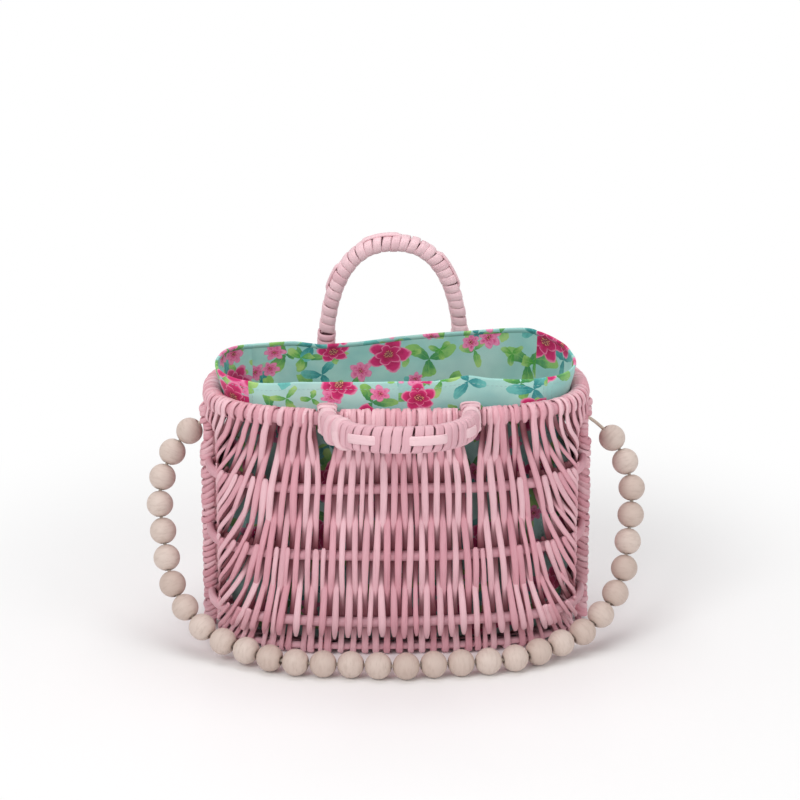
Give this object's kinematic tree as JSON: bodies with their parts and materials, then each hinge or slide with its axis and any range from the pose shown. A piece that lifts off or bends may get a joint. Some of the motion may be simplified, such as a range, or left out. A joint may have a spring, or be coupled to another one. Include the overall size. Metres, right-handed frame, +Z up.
{
  "type": "wicker basket bag",
  "caption": "Small oval wicker basket bag with two hinged reed-wrapped handles, a wooden bead strap and a stand-up cloth liner.",
  "frame": {"origin": "centre of the flat base, on the surface that the bag stands on", "axes": "+X along the length of the bag to its right end, +Y to its back, +Z up"},
  "size_m": [0.3689, 0.2458, 0.2842],
  "materials": {
    "wicker": "satin paint on woven willow",
    "rod": "satin paint on round rods",
    "reed": "satin paint on flat reed",
    "liner": "printed cotton twill",
    "bead": "bare sanded beech",
    "cord": "twisted cotton"
  },
  "bodies": {
    "basket": {"rim_hoop": "rod", "base_hoop": "rod", "front_upper_rib": "rod", "front_middle_rib": "rod", "front_lower_rib": "rod", "back_upper_rib": "rod", "back_middle_rib": "rod", "back_lower_rib": "rod", "left_end_post": "rod", "right_end_post": "rod", "front_weave": "wicker", "back_weave": "wicker", "base_weave": "wicker", "liner_front": "liner", "liner_back": "liner", "liner_left": "liner", "liner_right": "liner", "liner_base": "liner"},
    "front_handle": {"front_handle_core": "rod", "front_handle_wrap": "reed"},
    "back_handle": {"back_handle_core": "rod", "back_handle_wrap": "reed"},
    "bead_strap": {"strap_cord": "cord", "strap_knot_left": "cord", "strap_knot_right": "cord", "bead_01": "bead", "bead_02": "bead", "bead_03": "bead", "bead_04": "bead", "bead_05": "bead", "bead_06": "bead", "bead_07": "bead", "bead_08": "bead", "bead_09": "bead", "bead_10": "bead", "bead_11": "bead", "bead_12": "bead", "bead_13": "bead", "bead_14": "bead", "bead_15": "bead", "bead_16": "bead", "bead_17": "bead", "bead_18": "bead", "bead_19": "bead", "bead_20": "bead", "bead_21": "bead", "bead_22": "bead", "bead_23": "bead", "bead_24": "bead", "bead_25": "bead", "bead_26": "bead", "bead_27": "bead", "bead_28": "bead", "bead_29": "bead", "bead_30": "bead", "bead_31": "bead", "bead_32": "bead"}
  },
  "joints": [
    {"name": "front_handle_hinge", "type": "hinge", "parent": "basket", "child": "front_handle", "pos_m": [0, -0.06685, 0.186], "axis": [-1, 0, 0], "range_deg": [0, 84]},
    {"name": "back_handle_hinge", "type": "hinge", "parent": "basket", "child": "back_handle", "pos_m": [0, 0.06685, 0.186], "axis": [-1, 0, 0], "range_deg": [-4, 80]},
    {"name": "strap_swing", "type": "hinge", "parent": "basket", "child": "bead_strap", "pos_m": [0, 0.008, 0.159], "axis": [-1, 0, 0], "range_deg": [0, 50]}
  ]
}
